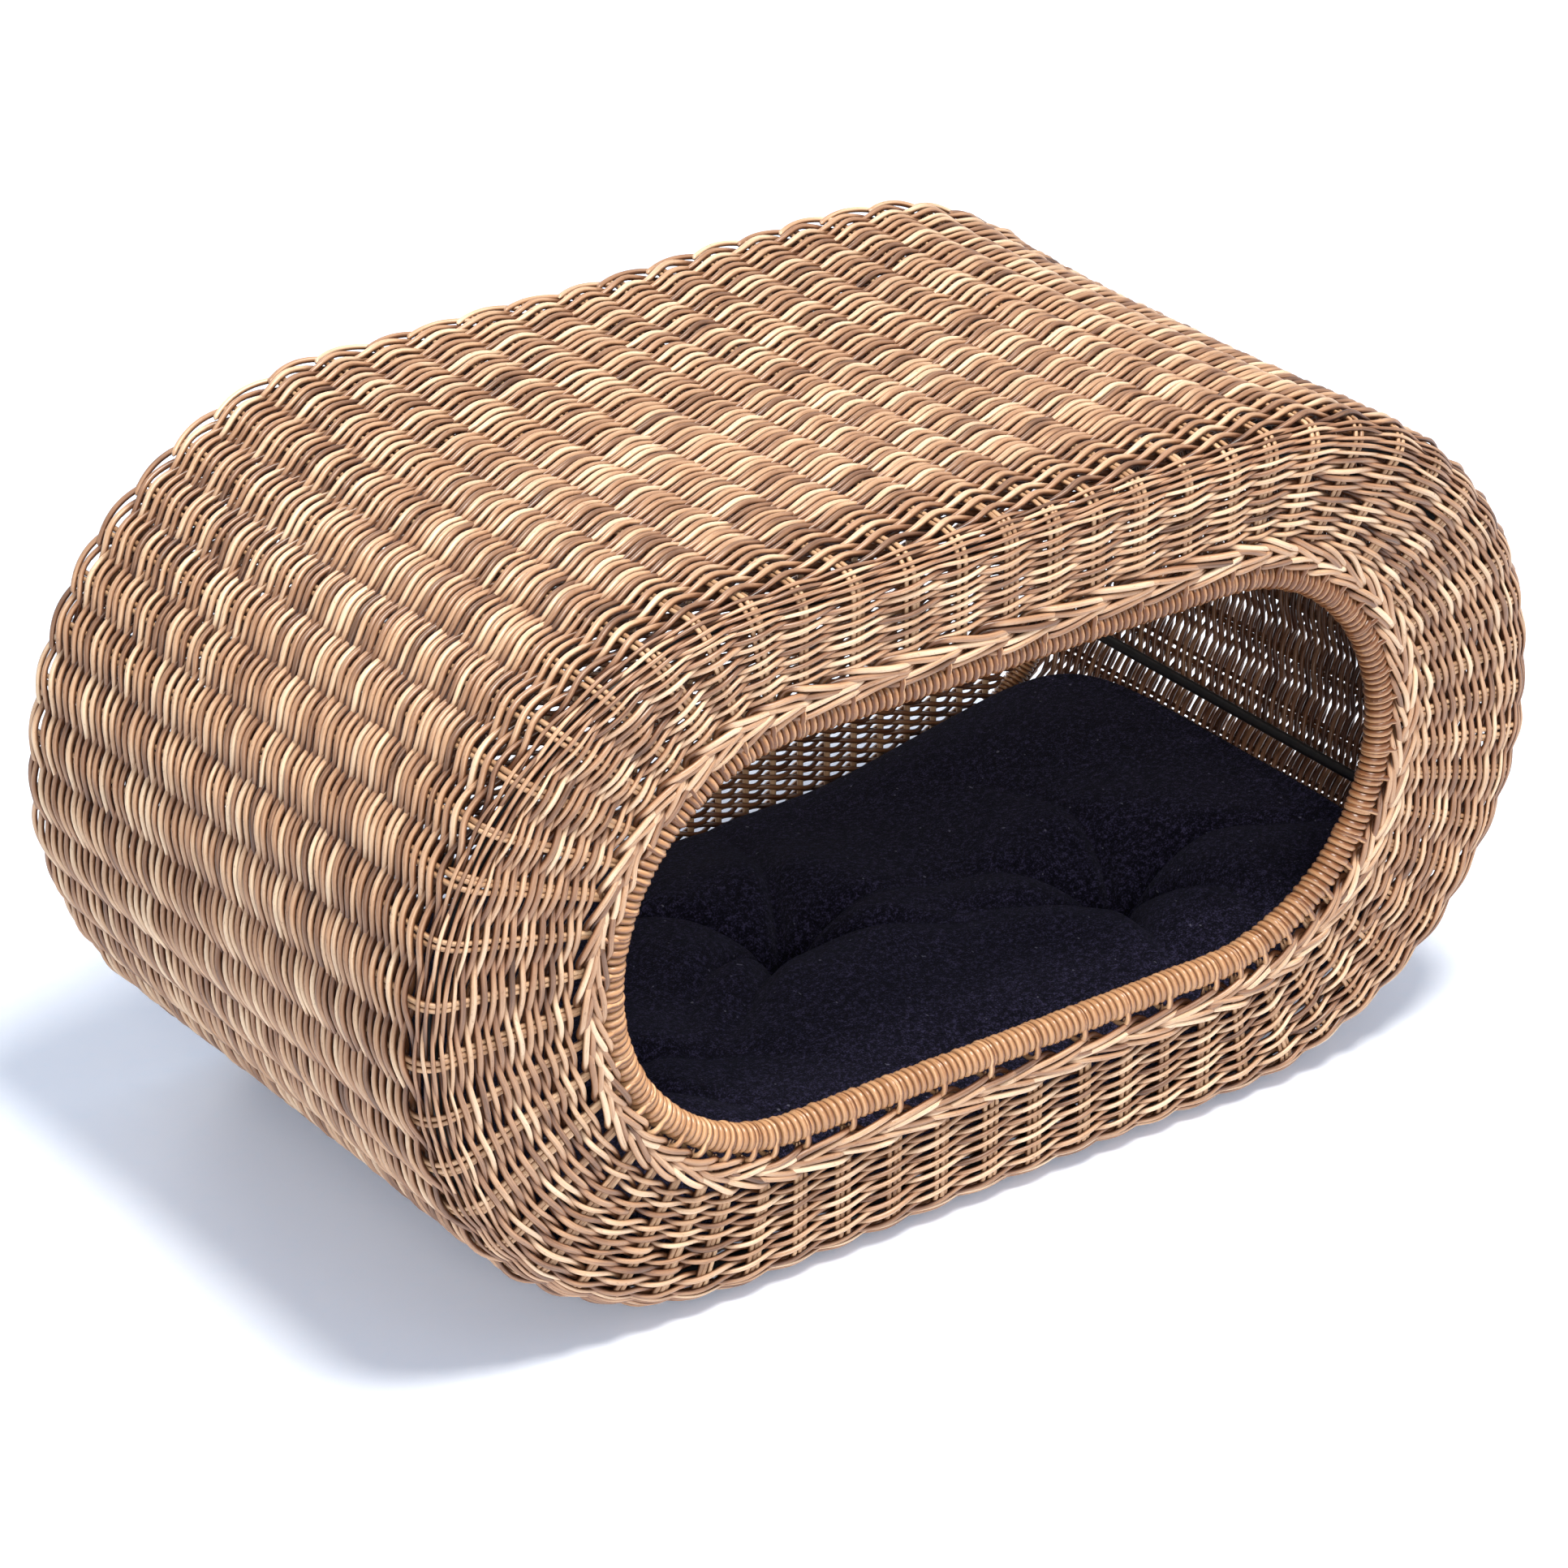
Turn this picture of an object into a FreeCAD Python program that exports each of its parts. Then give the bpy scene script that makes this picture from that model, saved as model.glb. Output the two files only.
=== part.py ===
"""Wicker pet bed basket: a twined tunnel with rounded ends, a wrapped opening and a loose cushion.

Frame: X is the width, Y the depth with the opening at -Y, Z is up. The origin is the middle of
the footprint, on the surface that the basket stands on. Millimetres.
"""
import FreeCAD, Part
import math
import os

import Sketcher
from FreeCAD import Placement, Rotation, Vector

DIMENSIONS = [
    # outer shell: a stadium section, two half circles joined by straights
    ("BodyWidth", 580.0),
    ("BodyHeight", 315.0),
    ("WeaveThickness", 9.0),
    ("BackPlane", 147.5),
    ("CornerPlane", -136.5),
    ("FacePlane", -152.5),
    ("CornerRadius", 15.0),
    ("InnerCornerRadius", 3.5),
    # back wall
    ("BackWallRadius", 138.5),
    ("BackWallPlane", 148.5),
    ("BackBorderRadius", 153.0),
    ("BackBorderPlane", 150.0),
    ("BackBorderRod", 2.5),
    # steel frame
    ("FrameRadius", 143.6),
    ("HoopRod", 3.0),
    ("BarRod", 2.5),
    ("BackHoopPlane", 144.0),
    ("FrontHoopPlane", -140.2),
    ("BarAngle", 30.0),
    ("BackWrapRod", 4.6),
    # opening: half length of its straight, and the radii of its rings
    ("OpeningHalf", 108.0),
    ("OpeningHeight", 162.0),
    ("RimRadius", 91.0),
    ("RimPlane", -146.25),
    ("RimCoreRod", 3.6),
    ("RimWrapRod", 6.25),
    ("BorderRadius", 106.7),
    ("BorderPlane", -147.6),
    ("BorderRod", 4.9),
    ("FaceHoleRadius", 111.8),
    # stakes: pairs of rods in the middle of the weave
    ("StakePairs", 62.0),
    ("StakeRod", 1.3),
    ("StakeSpacing", 2.9),
    ("StakeBend", 10.5),
    ("StakeEndGap", 0.3),
    ("BackStakePitch", 15.5),
    ("BackStakeRod", 1.5),
    ("BackStakeMargin", 2.0),
    # ties between the rim and its border
    ("TieRod", 1.2),
    ("TieReach", 12.0),
    ("TieBend", 5.0),
    # cushion
    ("CushionClearance", 0.9),
    ("CushionDepth", 272.0),
    ("CushionHalfWidth", 252.8),
    ("CushionCentreHeight", 60.0),
    ("CushionEndHeight", 82.0),
    ("CoverThickness", 2.0),
    ("TuftRod", 1.0),
    ("TuftSpacing", 150.0),
    ("TuftFront", -35.0),
    ("TuftMiddle", 23.0),
]

OUTER_RADIUS = "Dims.BodyHeight / 2"
OUTER_HALF = "(Dims.BodyWidth - Dims.BodyHeight) / 2"
INNER_RADIUS = "(Dims.BodyHeight / 2 - Dims.WeaveThickness)"
CENTRE = "Dims.BodyHeight / 2"

doc = FreeCAD.newDocument("wicker_pet_bed")
sheet = doc.addObject("Spreadsheet::Sheet", "Dims")
for row, (alias, value) in enumerate(DIMENSIONS, start=1):
    sheet.set("A%d" % row, alias)
    sheet.set("B%d" % row, str(value))
    sheet.setAlias("B%d" % row, alias)
doc.recompute()

exported = []


def dim(alias):
    """A driving dimension's value."""
    return float(sheet.get(alias))


def export(piece, label):
    """Name a finished piece and put it on the list of files."""
    piece.Label = label
    exported.append(piece)
    return piece


# ---------------------------------------------------------------- stadium shapes

def plane_of(body, role):
    for feature in body.Origin.OriginFeatures:
        if feature.Role == role:
            return feature
    raise ValueError(role)


def add_stadium(sketch, half, radius, height):
    """Add a stadium loop, symmetric about the sketch's vertical axis, bound to three expressions."""
    first = sketch.GeometryCount
    sample_half, sample_radius, sample_height = 100.0, 120.0 - first, 150.0
    axis = Vector(0, 0, 1)
    right = Part.Circle(Vector(sample_half, sample_height, 0), axis, sample_radius)
    left = Part.Circle(Vector(-sample_half, sample_height, 0), axis, sample_radius)
    low, high = sample_height - sample_radius, sample_height + sample_radius
    sketch.addGeometry(Part.ArcOfCircle(right, -math.pi / 2, math.pi / 2), False)
    sketch.addGeometry(Part.ArcOfCircle(left, math.pi / 2, 3 * math.pi / 2), False)
    for start_x, level in ((sample_half, high), (-sample_half, low)):
        line = Part.LineSegment(Vector(start_x, level, 0), Vector(-start_x, level, 0))
        sketch.addGeometry(line, False)
    right_arc, left_arc, top, bottom = range(first, first + 4)
    for one, one_end, other, other_end in ((right_arc, 2, top, 1), (top, 2, left_arc, 1),
                                           (left_arc, 2, bottom, 1), (bottom, 2, right_arc, 1)):
        sketch.addConstraint(Sketcher.Constraint("Tangent", one, one_end, other, other_end))
    sketch.addConstraint(Sketcher.Constraint("Horizontal", top))
    sketch.addConstraint(Sketcher.Constraint("Symmetric", right_arc, 3, left_arc, 3, -2))
    bound = ((Sketcher.Constraint("Radius", right_arc, sample_radius), radius),
             (Sketcher.Constraint("DistanceX", -1, 1, right_arc, 3, sample_half), half),
             (Sketcher.Constraint("DistanceY", -1, 1, right_arc, 3, sample_height), height))
    for constraint, expression in bound:
        index = sketch.addConstraint(constraint)
        sketch.setExpression("Constraints[%d]" % index, expression)


def stadium_pad(body, name, back_plane, length, loops):
    """Pad stadium loops forward (-Y) from a plane across the depth; an inner loop is a hole."""
    sketch = body.newObject("Sketcher::SketchObject", name + "Sketch")
    sketch.AttachmentSupport = [(plane_of(body, "XZ_Plane"), "")]
    sketch.MapMode = "FlatFace"
    sketch.setExpression("AttachmentOffset.Base.z", "-(%s)" % back_plane)
    for half, radius, height in loops:
        add_stadium(sketch, half, radius, height)
    pad = body.newObject("PartDesign::Pad", name)
    pad.Profile = sketch
    pad.setExpression("Length", length)
    sketch.Visibility = False
    return pad


def stadium_ring(name, half, ring_radius, rod, plane, height):
    """A round rod bent into a stadium hoop that lies across the depth."""
    pieces = []
    for side, turn in (("Right", -90), ("Left", 90)):
        bend = doc.addObject("Part::Torus", name + side)
        bend.Angle3 = 180
        bend.Placement = Placement(Vector(0, 0, 0), Rotation(Vector(1, 0, 0), 90)
                                   .multiply(Rotation(Vector(0, 0, 1), turn)))
        bend.setExpression("Radius1", ring_radius)
        bend.setExpression("Radius2", rod)
        sign = "" if side == "Right" else "-"
        bend.setExpression("Placement.Base.x", sign + "(%s)" % half)
        bend.setExpression("Placement.Base.y", plane)
        bend.setExpression("Placement.Base.z", height)
        pieces.append(bend)
    for side, sign in (("Top", "+"), ("Bottom", "-")):
        run = doc.addObject("Part::Cylinder", name + side)
        run.Placement = Placement(Vector(0, 0, 0), Rotation(Vector(0, 1, 0), 90))
        run.setExpression("Radius", rod)
        run.setExpression("Height", "2 * (%s)" % half)
        run.setExpression("Placement.Base.x", "-(%s)" % half)
        run.setExpression("Placement.Base.y", plane)
        run.setExpression("Placement.Base.z", "%s %s %s" % (height, sign, ring_radius))
        pieces.append(run)
    ring = doc.addObject("Part::MultiFuse", name)
    ring.Shapes = pieces
    return ring


def cut(name, base, tool):
    result = doc.addObject("Part::Cut", name)
    result.Base = base
    result.Tool = tool
    return result


# ---------------------------------------------------------------- woven walls

side = doc.addObject("PartDesign::Body", "SideWeave")
stadium_pad(side, "SidePad", "Dims.BackPlane", "Dims.BackPlane - Dims.CornerPlane",
            [(OUTER_HALF, OUTER_RADIUS, CENTRE), (OUTER_HALF, INNER_RADIUS, CENTRE)])
export(side, "side_weave")

front = doc.addObject("PartDesign::Body", "FrontWeave")
inner_face = "(Dims.FacePlane + Dims.WeaveThickness)"
stadium_pad(front, "FrontCornerPad", "Dims.CornerPlane", "Dims.CornerPlane - %s" % inner_face,
            [(OUTER_HALF, OUTER_RADIUS, CENTRE), (OUTER_HALF, INNER_RADIUS, CENTRE)])
face_pad = stadium_pad(front, "FacePad", inner_face, "Dims.WeaveThickness",
                       [(OUTER_HALF, OUTER_RADIUS, CENTRE),
                        ("Dims.OpeningHalf", "Dims.FaceHoleRadius", "Dims.OpeningHeight")])
face_pad.Refine = True
doc.recompute()


def stadium_edges(shape, plane, radius):
    """Names of the edges in one plane across the depth that follow a stadium of this radius."""
    centre = dim("BodyHeight") / 2
    names = []
    for index, edge in enumerate(shape.Edges, start=1):
        if any(abs(vertex.Y - plane) > 1e-3 for vertex in edge.Vertexes):
            continue
        if isinstance(edge.Curve, Part.Circle):
            follows = abs(edge.Curve.Radius - radius) < 1e-3
        else:
            follows = all(abs(abs(vertex.Z - centre) - radius) < 1e-3 for vertex in edge.Vertexes)
        if follows:
            names.append("Edge%d" % index)
    return names


def round_corner(body, name, base, plane, radius, alias):
    fillet = body.newObject("PartDesign::Fillet", name)
    fillet.Base = (base, stadium_edges(base.Shape, plane, radius))
    fillet.setExpression("Radius", "Dims.%s" % alias)
    doc.recompute()
    return fillet


outer = dim("BodyHeight") / 2
corner = round_corner(front, "FrontCorner", face_pad, dim("FacePlane"), outer, "CornerRadius")
round_corner(front, "FrontInnerCorner", corner, dim("FacePlane") + dim("WeaveThickness"),
             outer - dim("WeaveThickness"), "InnerCornerRadius")
export(front, "front_weave")

back = doc.addObject("PartDesign::Body", "BackWeave")
stadium_pad(back, "BackPad", "Dims.BackWallPlane", "Dims.WeaveThickness",
            [(OUTER_HALF, "Dims.BackWallRadius", CENTRE)])
export(back, "back_weave")

back_border = stadium_ring("BackBorder", OUTER_HALF, "Dims.BackBorderRadius", "Dims.BackBorderRod",
                           "Dims.BackBorderPlane", CENTRE)
export(back_border, "back_border")

# ---------------------------------------------------------------- steel frame

front_hoop = stadium_ring("FrontHoop", OUTER_HALF, "Dims.FrameRadius", "Dims.HoopRod",
                          "Dims.FrontHoopPlane", CENTRE)
export(front_hoop, "front_hoop")
back_hoop = stadium_ring("BackHoop", OUTER_HALF, "Dims.FrameRadius", "Dims.HoopRod",
                         "Dims.BackHoopPlane", CENTRE)
export(back_hoop, "back_hoop")
back_wrap_outside = stadium_ring("BackWrapOutside", OUTER_HALF, "Dims.FrameRadius", "Dims.BackWrapRod",
                                 "Dims.BackHoopPlane", CENTRE)
export(cut("BackHoopWrap", back_wrap_outside, back_hoop), "back_hoop_wrap")


def frame_bar(side_name, level, side_sign, level_sign):
    """A bar along the depth between the two hoops, its ends coped to sit on them."""
    name = "Bar" + level.capitalize() + side_name.capitalize()
    bar = doc.addObject("Part::Cylinder", name)
    bar.Placement = Placement(Vector(0, 0, 0), Rotation(Vector(1, 0, 0), -90))
    bar.setExpression("Radius", "Dims.BarRod")
    bar.setExpression("Height", "Dims.BackHoopPlane - Dims.FrontHoopPlane")
    bar.setExpression("Placement.Base.x", "%s(%s + Dims.FrameRadius * cos(Dims.BarAngle * 1 deg))"
                      % (side_sign, OUTER_HALF))
    bar.setExpression("Placement.Base.y", "Dims.FrontHoopPlane")
    bar.setExpression("Placement.Base.z", "%s %s Dims.FrameRadius * sin(Dims.BarAngle * 1 deg)"
                      % (CENTRE, level_sign))
    coped = cut(name + "Coped", cut(name + "Front", bar, front_hoop), back_hoop)
    export(coped, "frame_bar_%s_%s" % (level, side_name))


for side_name, side_sign in (("right", ""), ("left", "-")):
    for level, level_sign in (("lower", "-"), ("upper", "+")):
        frame_bar(side_name, level, side_sign, level_sign)

# ---------------------------------------------------------------- opening

opening_hoop = stadium_ring("OpeningHoop", "Dims.OpeningHalf", "Dims.RimRadius", "Dims.RimCoreRod",
                            "Dims.RimPlane", "Dims.OpeningHeight")
export(opening_hoop, "opening_hoop")
rim_outside = stadium_ring("RimOutside", "Dims.OpeningHalf", "Dims.RimRadius", "Dims.RimWrapRod",
                           "Dims.RimPlane", "Dims.OpeningHeight")
export(cut("OpeningWrap", rim_outside, opening_hoop), "opening_wrap")
opening_border = stadium_ring("OpeningBorder", "Dims.OpeningHalf", "Dims.BorderRadius", "Dims.BorderRod",
                              "Dims.BorderPlane", "Dims.OpeningHeight")
export(opening_border, "opening_border")

# ---------------------------------------------------------------- stakes and ties

body_half = (dim("BodyWidth") - dim("BodyHeight")) / 2
body_centre = dim("BodyHeight") / 2
stake_radius = body_centre - dim("WeaveThickness") / 2
stake_middle = dim("FacePlane") + dim("WeaveThickness") / 2
opening_half = dim("OpeningHalf")


def quarter_point(half, radius, distance):
    """Point and outward normal of a stadium, a distance along its quarter from the foot of its axis."""
    if distance <= half:
        return distance, -radius, 0.0, -1.0
    angle = (distance - half) / radius
    return half + radius * math.sin(angle), -radius * math.cos(angle), math.sin(angle), -math.cos(angle)


def stake_line(index):
    """Where one stake pair runs: its foot on the wall and its end at the rim, as (x, z) vectors."""
    outer_quarter = body_half + stake_radius * math.pi / 2
    rim_quarter = opening_half + dim("RimRadius") * math.pi / 2
    distance = (index + 0.5) * 4 * outer_quarter / dim("StakePairs")
    quarter = int(distance // outer_quarter)
    along = distance - quarter * outer_quarter
    if quarter % 2:
        along = outer_quarter - along
    if along <= opening_half:
        rim_along = along
    else:
        shrink = (rim_quarter - opening_half) / (outer_quarter - opening_half)
        rim_along = opening_half + (along - opening_half) * shrink
    side_sign = 1 if quarter in (0, 1) else -1
    level_sign = 1 if quarter in (0, 3) else -1
    ends = []
    stations = ((body_half, stake_radius, along, body_centre),
                (opening_half, dim("RimRadius"), rim_along, dim("OpeningHeight")))
    for half, radius, position, height in stations:
        x, z, _, _ = quarter_point(half, radius, position)
        ends.append(Vector(side_sign * x, 0, height + level_sign * z))
    return ends


def rod_along(wire, radius):
    """A round rod along a planar wire."""
    start = wire.Edges[0].firstVertex().Point
    tangent = wire.Edges[0].tangentAt(wire.Edges[0].FirstParameter)
    section = Part.Wire(Part.Circle(start, tangent, radius).toShape())
    return wire.makePipeShell([section], True, False)


def stake_rod(foot, rim, shift):
    """One rod: along the wall, round the front corner and down the face to the rim."""
    inward = (rim - foot).normalize()
    across = inward.cross(Vector(0, 1, 0)) * shift
    bend = dim("StakeBend")
    face = Vector(0, stake_middle, 0)
    start = foot + Vector(0, dim("BackPlane"), 0) + across
    bend_start = foot + Vector(0, stake_middle + bend, 0) + across
    bend_end = foot + face + inward * bend + across
    bend_centre = foot + inward * bend + Vector(0, stake_middle + bend, 0) + across
    bend_middle = bend_centre - (inward + Vector(0, 1, 0)).normalize() * bend
    end = rim + face - inward * (dim("RimWrapRod") + dim("StakeEndGap")) + across
    wire = Part.Wire([Part.LineSegment(start, bend_start).toShape(),
                      Part.Arc(bend_start, bend_middle, bend_end).toShape(),
                      Part.LineSegment(bend_end, end).toShape()])
    return rod_along(wire, dim("StakeRod"))


def tie_loop(foot, rim):
    """A loop of cane round the rim that reaches out to the border."""
    outward = (foot - rim).normalize()
    forward = Vector(0, -1, 0)
    bend = dim("TieBend")
    near = rim + Vector(0, dim("RimPlane"), 0)
    far = near + outward * (dim("TieReach") - bend)
    edges = [Part.LineSegment(near + forward * bend, far + forward * bend).toShape(),
             Part.Arc(far + forward * bend, far + outward * bend, far - forward * bend).toShape(),
             Part.LineSegment(far - forward * bend, near - forward * bend).toShape(),
             Part.Arc(near - forward * bend, near - outward * bend, near + forward * bend).toShape()]
    return rod_along(Part.Wire(edges), dim("TieRod"))


def add_group(name, label, solids):
    group = doc.addObject("Part::Feature", name)
    group.Shape = Part.makeCompound(solids)
    export(group, label)


stake_groups = {"top": [], "bottom": [], "left": [], "right": []}
ties = []
for index in range(int(dim("StakePairs"))):
    foot, rim = stake_line(index)
    if abs(foot.x) <= body_half:
        region = "top" if foot.z > body_centre else "bottom"
    else:
        region = "right" if foot.x > 0 else "left"
    for shift in (-dim("StakeSpacing") / 2, dim("StakeSpacing") / 2):
        stake_groups[region].append(stake_rod(foot, rim, shift))
    ties.append(tie_loop(foot, rim))
for region, rods in stake_groups.items():
    add_group("Stakes" + region.capitalize(), "stakes_" + region, rods)
add_group("OpeningTies", "opening_ties", ties)

back_stakes = []
stake_reach = dim("BackWallRadius") - dim("BackStakeMargin")
count = int((body_half + stake_reach) // dim("BackStakePitch"))
for step in range(-count, count + 1):
    x = step * dim("BackStakePitch")
    past_straight = max(abs(x) - body_half, 0.0)
    half_height = math.sqrt(stake_reach ** 2 - past_straight ** 2)
    foot = Vector(x, dim("BackWallPlane") - dim("WeaveThickness") / 2, body_centre - half_height)
    back_stakes.append(Part.makeCylinder(dim("BackStakeRod"), 2 * half_height, foot, Vector(0, 0, 1)))
add_group("BackStakes", "back_stakes", back_stakes)

# ---------------------------------------------------------------- cushion


def cushion_block(name, inset):
    """The cushion: it lies on the floor, turns up against the round ends and is crowned between."""
    body = doc.addObject("PartDesign::Body", name)
    sketch = body.newObject("Sketcher::SketchObject", name + "Sketch")
    sketch.AttachmentSupport = [(plane_of(body, "XZ_Plane"), "")]
    sketch.MapMode = "FlatFace"
    sketch.setExpression("AttachmentOffset.Base.z", "-(Dims.CushionDepth / 2 - %s)" % inset)
    centre, half = body_centre, body_half
    radius = body_centre - dim("WeaveThickness") - dim("CushionClearance")
    reach = dim("CushionHalfWidth") - half
    tip = math.asin(reach / radius)
    low = centre - radius
    edge_x, edge_z = half + reach, centre - radius * math.cos(tip)
    axis = Vector(0, 0, 1)
    right_circle = Part.Circle(Vector(half, centre, 0), axis, radius)
    left_circle = Part.Circle(Vector(-half, centre, 0), axis, radius)
    foot_left, foot_right = Vector(-half, low, 0), Vector(half, low, 0)
    edge_left, edge_right = Vector(-edge_x, edge_z, 0), Vector(edge_x, edge_z, 0)
    top_z = dim("CushionEndHeight")
    top_left, top_right = Vector(-edge_x, top_z, 0), Vector(edge_x, top_z, 0)
    crown = Part.Arc(top_right, Vector(0, dim("CushionCentreHeight"), 0), top_left)
    loop = (Part.LineSegment(foot_left, foot_right),
            Part.ArcOfCircle(right_circle, -math.pi / 2, tip - math.pi / 2),
            Part.LineSegment(edge_right, top_right),
            crown,
            Part.LineSegment(top_left, edge_left),
            Part.ArcOfCircle(left_circle, 3 * math.pi / 2 - tip, 3 * math.pi / 2))
    for piece in loop:
        sketch.addGeometry(piece, False)
    floor, right_arc, right_edge, top_arc, left_edge, left_arc = range(6)
    constrain = sketch.addConstraint
    constrain(Sketcher.Constraint("Tangent", floor, 2, right_arc, 1))
    constrain(Sketcher.Constraint("Tangent", left_arc, 2, floor, 1))
    constrain(Sketcher.Constraint("Coincident", right_arc, 2, right_edge, 1))
    constrain(Sketcher.Constraint("Coincident", left_edge, 2, left_arc, 1))
    crown_start = sketch.getPoint(top_arc, 1)
    right_end, left_end = (1, 2) if crown_start.x > 0 else (2, 1)
    constrain(Sketcher.Constraint("Coincident", right_edge, 2, top_arc, right_end))
    constrain(Sketcher.Constraint("Coincident", left_edge, 1, top_arc, left_end))
    constrain(Sketcher.Constraint("Vertical", right_edge))
    constrain(Sketcher.Constraint("Symmetric", right_arc, 3, left_arc, 3, -2))
    constrain(Sketcher.Constraint("Symmetric", right_edge, 1, left_edge, 2, -2))
    constrain(Sketcher.Constraint("Symmetric", right_edge, 2, left_edge, 1, -2))
    crown_rise = "(Dims.CushionEndHeight - Dims.CushionCentreHeight)"
    chord = "(Dims.CushionHalfWidth - %s)" % inset
    bound = (
        (Sketcher.Constraint("Radius", right_arc, radius),
         "%s - Dims.CushionClearance - %s" % (INNER_RADIUS, inset)),
        (Sketcher.Constraint("DistanceX", -1, 1, right_arc, 3, half), OUTER_HALF),
        (Sketcher.Constraint("DistanceY", -1, 1, right_arc, 3, centre), CENTRE),
        (Sketcher.Constraint("DistanceX", -1, 1, right_edge, 2, edge_x), chord),
        (Sketcher.Constraint("DistanceY", -1, 1, right_edge, 2, top_z),
         "Dims.CushionEndHeight - %s" % inset),
        (Sketcher.Constraint("Radius", top_arc, crown.toShape().Curve.Radius),
         "(%s * %s + %s * %s) / (2 * %s)" % (chord, chord, crown_rise, crown_rise, crown_rise)),
    )
    for constraint, expression in bound:
        index = constrain(constraint)
        sketch.setExpression("Constraints[%d]" % index, expression)
    pad = body.newObject("PartDesign::Pad", name + "Pad")
    pad.Profile = sketch
    pad.setExpression("Length", "Dims.CushionDepth - 2 * %s" % inset)
    return body


cushion_outside = cushion_block("CushionOutside", "0")
filling = cushion_block("CushionFilling", "Dims.CoverThickness")
doc.recompute()
export(filling, "cushion_filling")
export(cut("CushionCover", cushion_outside, filling), "cushion_cover")
doc.recompute()

threads = []
for x, y in ((-dim("TuftSpacing"), dim("TuftFront")), (0.0, dim("TuftMiddle")),
             (dim("TuftSpacing"), dim("TuftFront"))):
    thread = Part.makeCylinder(dim("TuftRod"), dim("CushionEndHeight"), Vector(x, y, 0), Vector(0, 0, 1))
    threads.append(thread.common(cushion_outside.Shape))
add_group("CushionTies", "cushion_ties", threads)

# ---------------------------------------------------------------- checks and export

doc.recompute()
for item in doc.Objects:
    if "Invalid" in item.State or "Error" in item.State:
        raise RuntimeError("%s is in state %s" % (item.Name, item.State))
os.makedirs("parts", exist_ok=True)
for piece in exported:
    shape = piece.Shape
    if shape.isNull() or not shape.isValid():
        raise RuntimeError("%s has no valid shape" % piece.Label)
    shape.exportStep("parts/%s.step" % piece.Label)
    box = shape.BoundBox
    print("%-24s solids %3d  volume %10.0f  x %7.1f %7.1f  y %7.1f %7.1f  z %6.1f %6.1f"
          % (piece.Label, len(shape.Solids), shape.Volume, box.XMin, box.XMax, box.YMin, box.YMax,
             box.ZMin, box.ZMax))
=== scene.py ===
"""Looks of the wicker pet bed basket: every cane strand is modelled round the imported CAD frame.

Lengths are worked out in millimetres, in the frame's axes, and written to the meshes in metres.
"""
import math

import bpy
import numpy as np
from mathutils import Matrix, Vector


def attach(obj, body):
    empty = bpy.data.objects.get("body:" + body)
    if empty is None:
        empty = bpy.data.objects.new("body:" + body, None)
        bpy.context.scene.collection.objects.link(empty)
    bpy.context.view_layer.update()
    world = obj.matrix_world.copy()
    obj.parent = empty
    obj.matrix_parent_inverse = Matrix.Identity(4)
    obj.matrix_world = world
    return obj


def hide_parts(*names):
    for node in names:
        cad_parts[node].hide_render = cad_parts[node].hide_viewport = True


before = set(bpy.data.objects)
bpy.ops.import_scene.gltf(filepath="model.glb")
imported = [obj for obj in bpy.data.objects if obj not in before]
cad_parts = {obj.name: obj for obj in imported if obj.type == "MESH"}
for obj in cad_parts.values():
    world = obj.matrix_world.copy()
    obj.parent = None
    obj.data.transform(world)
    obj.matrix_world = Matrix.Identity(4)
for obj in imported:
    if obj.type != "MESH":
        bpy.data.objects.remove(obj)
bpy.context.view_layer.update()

MM = 0.001
TAU = 2 * math.pi

# the middle of the weave: a stadium section, extruded along the depth
OUTER_HALF, OUTER_RADIUS, OUTER_CENTRE = 132.5, 153.0, 157.5
RIM_HALF, RIM_RADIUS, RIM_CENTRE = 108.0, 91.0, 162.0
BACK, FACE, BEND = 147.5, -148.0, 10.5
WALL_LENGTH = BACK - FACE - BEND
BEND_LENGTH = BEND * math.pi / 2
STAKES = 62
OUTER_QUARTER = OUTER_HALF + OUTER_RADIUS * math.pi / 2
RIM_QUARTER = RIM_HALF + RIM_RADIUS * math.pi / 2
PITCH = 4 * OUTER_QUARTER / STAKES
RIGHT_MIDDLE, LEFT_MIDDLE = STAKES / 4, STAKES * 3 / 4
STRAND = 1.42

# neighbouring strands step through the tones by the golden ratio, with some chance added
GOLDEN, TONE_CHANCE = 0.618034, 0.35


# ---------------------------------------------------------------- curves

def smooth(value, low, high):
    """0 below low, 1 above high, and a soft step between."""
    t = np.clip((np.asarray(value, float) - low) / (high - low), 0, 1)
    return t * t * (3 - 2 * t)


def stadium(along, half, radius):
    """Point and outward normal of a stadium, a distance along it from its foot towards +X and up."""
    quarter = half + radius * math.pi / 2
    turn = np.mod(along, 4 * quarter)
    index = np.floor(turn / quarter)
    rest = turn - index * quarter
    rest = np.where(index % 2 == 1, quarter - rest, rest)
    angle = np.maximum(rest - half, 0) / radius
    side = np.where(index < 2, 1.0, -1.0)
    level = np.where((index == 0) | (index == 3), -1.0, 1.0)
    x = side * (np.minimum(rest, half) + radius * np.sin(angle))
    return x, level * radius * np.cos(angle), side * np.sin(angle), level * np.cos(angle)


def rim_distance(along):
    """The distance round the rim that belongs to a distance round the wall."""
    turn = np.mod(along, 4 * OUTER_QUARTER)
    index = np.floor(turn / OUTER_QUARTER)
    rest = turn - index * OUTER_QUARTER
    rest = np.where(index % 2 == 1, OUTER_QUARTER - rest, rest)
    shrink = (RIM_QUARTER - RIM_HALF) / (OUTER_QUARTER - RIM_HALF)
    matched = np.where(rest <= RIM_HALF, rest, RIM_HALF + (rest - RIM_HALF) * shrink)
    matched = np.where(index % 2 == 1, RIM_QUARTER - matched, matched)
    return index * RIM_QUARTER + matched


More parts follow.
